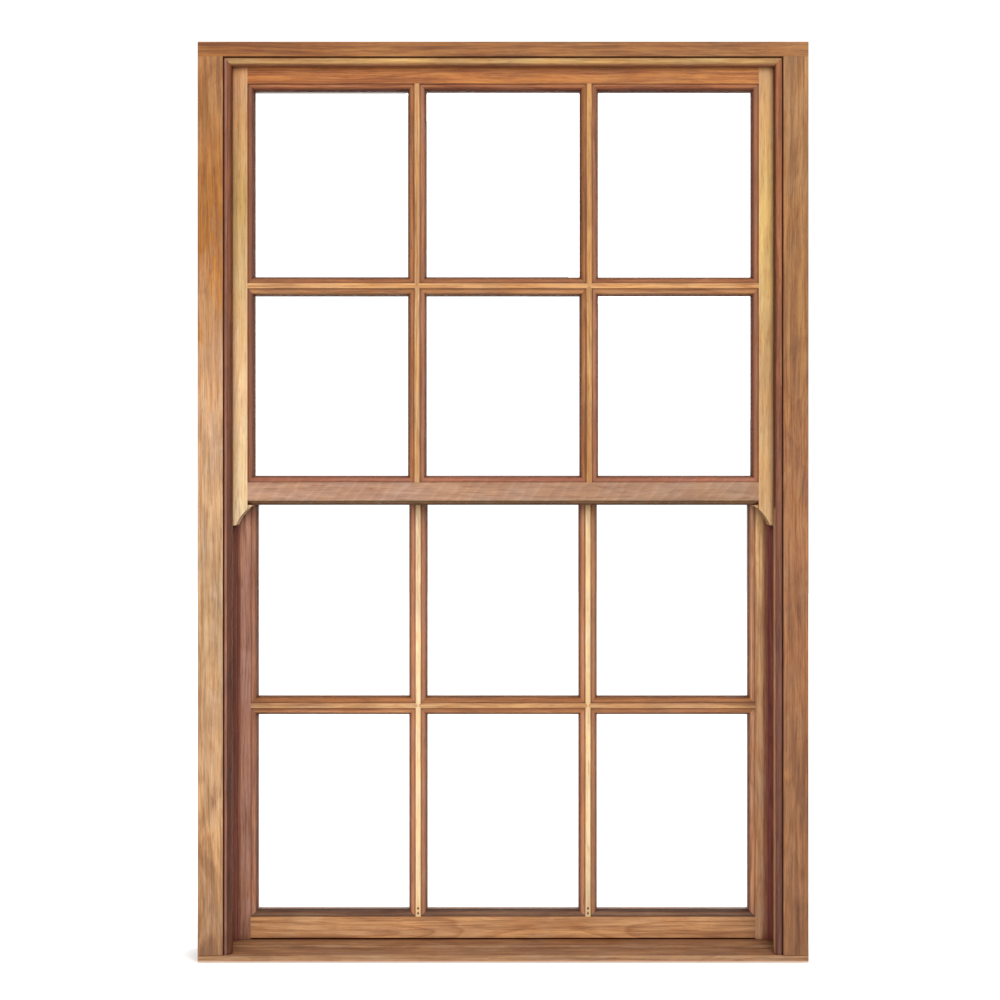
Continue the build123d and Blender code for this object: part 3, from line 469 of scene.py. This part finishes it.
# The boards: grain, run, tones of the face along the run, tone of mouldings and edges, and options
BOARDS = {
    "left_jamb": ("z", HEIGHT, [
        (161, 119, 87), (213, 169, 125), (206, 171, 133), (227, 185, 146), (184, 122, 55), (177, 126, 80),
    ], (150, 100, 70), {"figure": 0.6, "streak": 0.85}),
    "right_jamb": ("z", HEIGHT, [
        (151, 105, 71), (167, 117, 80), (167, 116, 80), (173, 123, 74), (176, 129, 85),
    ], (140, 92, 62), {"figure": 0.5}),
    "head": ("x", WIDTH, [(168, 109, 58), (168, 114, 68), (169, 116, 70)], (140, 92, 60), {"streak": 1.2}),
    "sill": ("x", WIDTH, [(196, 155, 117), (193, 153, 117)], (175, 127, 93), {
        "figure": 0.6, "lip_highlight": (3.6 * MM, (241, 203, 174))}),
    # Outer beads: painted shade lower down, painted highlight strips, and painted shade in the quirks
    "left_outer_bead": ("z", HEIGHT, [
        (92, 53, 41), (93, 53, 43), (100, 57, 43), (140, 84, 53), (136, 79, 48),
    ], (112, 68, 46), {"quirk_shade_colour": (140, 62, 26), "painted_strip": (LEFT_BEAD_EDGE, 2.8 * MM, NO_TOP, (166, 118, 98))}),
    "right_outer_bead": ("z", HEIGHT, [
        (126, 82, 70), (126, 82, 70), (136, 87, 70), (181, 116, 77), (176, 112, 73),
    ], (112, 66, 44), {
        "quirk_shade_colour": (160, 92, 40), "painted_strip": (RIGHT_BEAD_EDGE, 1.8 * MM, HORN_SHOULDER, (205, 152, 106))}),
    "head_outer_bead": ("x", WIDTH, [(212, 169, 110), (208, 165, 106)], (194, 139, 102), {"quirk_shade_colour": (190, 112, 56)}),
    "left_parting_bead": ("z", HEIGHT, [(139, 83, 67)], (135, 74, 62), {}),
    "right_parting_bead": ("z", HEIGHT, [(164, 90, 83)], (155, 78, 70), {}),
    "head_parting_bead": ("x", WIDTH, [(140, 92, 66)], (130, 84, 60), {}),
    "left_staff_bead": ("z", HEIGHT, [(172, 122, 84)], (156, 104, 72), {}),
    "right_staff_bead": ("z", HEIGHT, [(168, 116, 80)], (152, 100, 70), {}),
    "head_staff_bead": ("x", WIDTH, [(174, 122, 82)], (160, 108, 74), {}),
    "sill_staff_bead": ("x", WIDTH, [(168, 120, 84)], (154, 104, 74), {}),
    "upper_left_stile": ("z", UPPER, [
        (246, 216, 171), (251, 208, 157), (210, 173, 111), (223, 167, 117),
    ], (137, 86, 62), {"streak": 0.5, "figure": 0.25, "rings": 0.3, "horned": True, **UPPER_FACE}),
    "upper_right_stile": ("z", UPPER, [
        (223, 180, 128), (215, 170, 113), (236, 198, 126), (220, 172, 120),
    ], (163, 107, 79), {"streak": 0.4, "figure": 0.25, "rings": 0.3, "horned": True, **UPPER_FACE}),
    "upper_top_rail": ("x", WIDTH, [(193, 121, 65), (200, 134, 77)], (177, 116, 80), {"streak": 1.2, **UPPER_FACE}),
    # The meeting rail's underside tint is painted shade
    "upper_meeting_rail": ("x", WIDTH, [(197, 155, 130), (177, 139, 112)], (166, 109, 85), {
        "streak": 0.45, "rings": 0.25, "flame": 0.55, "underside_shading": (0.60, 0.81, 0.65, 1.0), **UPPER_FACE}),
    "upper_cross_bar": ("x", WIDTH, [(225, 169, 114), (223, 167, 111)], (166, 112, 75), UPPER_CROSS),
    "upper_bar_above_1": ("z", UPPER, [(216, 165, 113)], (169, 114, 79), UPPER_UPRIGHT),
    "upper_bar_above_2": ("z", UPPER, [(209, 154, 96)], (166, 112, 75), UPPER_UPRIGHT),
    "upper_bar_below_1": ("z", UPPER, [(219, 171, 118)], (169, 114, 81), UPPER_UPRIGHT),
    "upper_bar_below_2": ("z", UPPER, [(212, 161, 104)], (169, 114, 79), UPPER_UPRIGHT),
    # Lower stiles: strips of painted shadow beside the outer track
    "lower_left_stile": ("z", LOWER, [(146, 104, 85), (161, 117, 101), (177, 131, 111)], (143, 100, 80), {
        "painted_strip": (-STILE_EDGE, 6.5 * MM, NO_TOP, (129, 84, 69)), **LOWER_FACE}),
    "lower_right_stile": ("z", LOWER, [(198, 154, 118), (181, 137, 101), (231, 189, 138)], (180, 132, 101), {
        "painted_strip": (STILE_EDGE, 11.5 * MM, NO_TOP, (152, 98, 80)), **LOWER_FACE}),
    "lower_bottom_rail": ("x", WIDTH, [(181, 136, 96), (169, 124, 86)], (105, 77, 59), {
        "rings": 0.9, "figure": 0.5, **LOWER_FACE}),
    "lower_meeting_rail": ("x", WIDTH, [(186, 136, 98)], (156, 104, 76), LOWER_FACE),
    "lower_long_bar_1": ("z", LOWER, [(223, 195, 153), (221, 194, 155)], (159, 110, 83), LOWER_UPRIGHT),
    "lower_long_bar_2": ("z", LOWER, [(214, 188, 145), (214, 184, 142)], (159, 110, 81), LOWER_UPRIGHT),
    "lower_cross_bar_left": ("x", WIDTH, [(176, 137, 99)], (150, 102, 68), LOWER_CROSS),
    "lower_cross_bar_middle": ("x", WIDTH, [(177, 136, 95)], (149, 102, 68), LOWER_CROSS),
    "lower_cross_bar_right": ("x", WIDTH, [(175, 134, 95)], (145, 99, 66), LOWER_CROSS),
    "upper_glazing_beads": ("ring", UPPER, [(196, 146, 102)], (184, 132, 90), {}),
    "lower_glazing_beads": ("ring", LOWER, [(194, 144, 102)], (182, 130, 90), {}),
}

for number, (board, (grain, run, faces, moulding, options)) in enumerate(BOARDS.items(), 1):
    dress(board, timber("timber_" + board, grain, run, faces, moulding, number, **options))

glass = clear_glass()
tube_plastic = moulded_plastic("white_plastic", (226, 226, 220), (208, 208, 202), 0.32)
nylon = moulded_plastic("natural_nylon", (206, 198, 178), (188, 180, 160), 0.42)
steel = plated_steel()
for name in nodes:
    if "_pane_" in name:
        dress(name, glass)
    elif name.endswith("balance_tube"):
        dress(name, tube_plastic)
    elif name.endswith("balance_bush"):
        dress(name, nylon)
    elif name.endswith(("balance_rods", "balance_feet", "tube_screws")):
        dress(name, steel)


def new_object(name, mesh):
    """A new object of the scene with this bmesh's shape. The bmesh is used up."""
    data = bpy.data.meshes.new(name)
    mesh.to_mesh(data)
    mesh.free()
    piece = bpy.data.objects.new(name, data)
    scene.collection.objects.link(piece)
    return piece


# Nail heads at the foot of the long bars. A head's rings: its radius and how far it stands proud, as shares
NAIL_RADIUS = 2.1 * MM
NAIL_PROUD = 0.25 * MM
NAIL_SIDES = 16
NAIL_HEIGHTS = (82.6 * MM, 73.7 * MM)
NAIL_RINGS = [(1.0, 0.0), (1.0, 0.6), (0.85, 1.0), (0.6, 0.75), (0.25, 0.6)]


def nail_ring(mesh, x, y, z, radius):
    """A ring of points round (x, y, z), in a plane that looks forward."""
    ring = []
    for step in range(NAIL_SIDES):
        angle = 2 * math.pi * step / NAIL_SIDES
        ring.append(mesh.verts.new((x + radius * math.cos(angle), y, z + radius * math.sin(angle))))
    return ring


def nail_heads(name, bars, body):
    """Small dished nail heads, two on the flat of each long bar, just above its foot."""
    mesh = bmesh.new()
    for bar in bars:
        low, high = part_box(bar)
        centre_x = (low.x + high.x) / 2
        for height in NAIL_HEIGHTS:
            loops = [
                nail_ring(mesh, centre_x, low.y - proud * NAIL_PROUD, height, share * NAIL_RADIUS)
                for share, proud in NAIL_RINGS
            ]
            for outer, inner in zip(loops, loops[1:]):
                for step in range(NAIL_SIDES):
                    after = (step + 1) % NAIL_SIDES
                    mesh.faces.new((outer[step], outer[after], inner[after], inner[step]))
            mesh.faces.new(loops[-1])
            mesh.faces.new(loops[0][::-1])
    bmesh.ops.recalc_face_normals(mesh, faces=mesh.faces)
    piece = new_object(name, mesh)
    piece.data.materials.append(dark_nail())
    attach(piece, body)


nail_heads("lower_bar_nails", ("lower_long_bar_1", "lower_long_bar_2"), "lower_sash")

# Studio: a round pale floor, just under the sill, that meets a white sky
FLOOR_RADIUS = 16.0
FLOOR_SIDES = 96
FLOOR_DROP = 0.2 * MM


def studio_floor():
    """A round floor of pale paper."""
    mesh = bmesh.new()
    bmesh.ops.create_circle(mesh, cap_ends=True, segments=FLOOR_SIDES, radius=FLOOR_RADIUS)
    bmesh.ops.translate(mesh, verts=mesh.verts, vec=(0.0, 0.0, -FLOOR_DROP))
    floor = new_object("studio_floor", mesh)
    shade = Shade("studio_paper")
    grain = shade.noise(shade.place(), (3.0, 3.0, 3.0), detail=3.0)
    paper = shade.blend(shade.spread(grain, *MIDDLE), (0.90, 0.90, 0.90, 1.0), (0.92, 0.92, 0.915, 1.0))
    shade.connect(shade.surface, {"Base Color": paper, "Roughness": 0.9, "Specular IOR Level": 0.1})
    floor.data.materials.append(shade.material)


studio_floor()

# Sun lamps: where each one's light comes from, its strength, and how wide it looks in degrees
SUNS = {
    "key": ((0.42, -1.0, 0.50), 2.2, 34.0),
    "fill": ((-0.55, -1.0, 0.25), 0.75, 60.0),
    "room": ((0.45, 1.0, 0.55), 1.1, 60.0),
}
SUN_DISTANCE = 4
for name, (source, strength, spread) in SUNS.items():
    lamp = bpy.data.lights.new(name, "SUN")
    lamp.energy = strength
    lamp.angle = math.radians(spread)
    light = bpy.data.objects.new(name, lamp)
    light.rotation_mode = "QUATERNION"
    light.rotation_quaternion = Vector(source).to_track_quat("Z", "Y")
    light.location = Vector(source) * SUN_DISTANCE
    scene.collection.objects.link(light)

SKY_STRENGTH = 1.12
world = bpy.data.worlds.new("studio")
world.use_nodes = True
sky = world.node_tree.nodes["Background"]
sky.inputs["Color"].default_value = WHITE
sky.inputs["Strength"].default_value = SKY_STRENGTH
scene.world = world
scene.view_settings.view_transform = "Standard"

# Camera: straight on, where the photograph was taken from. The span is what the picture's width shows of the frame's
# front, and the middle is where the picture's middle falls on it, in X and Z
CAMERA_DISTANCE = 4.0
PHOTO_SPAN = 1.776
PHOTO_MIDDLE = (-5.5 * MM, 821.5 * MM)
SENSOR = 36.0
lens = bpy.data.cameras.new("camera")
lens.sensor_width = SENSOR
lens.lens = SENSOR * CAMERA_DISTANCE / PHOTO_SPAN
camera = bpy.data.objects.new("camera", lens)
camera.location = (PHOTO_MIDDLE[0], cad_low.y - CAMERA_DISTANCE, PHOTO_MIDDLE[1])
camera.rotation_euler = (math.pi / 2, 0.0, 0.0)
scene.collection.objects.link(camera)
scene.camera = camera
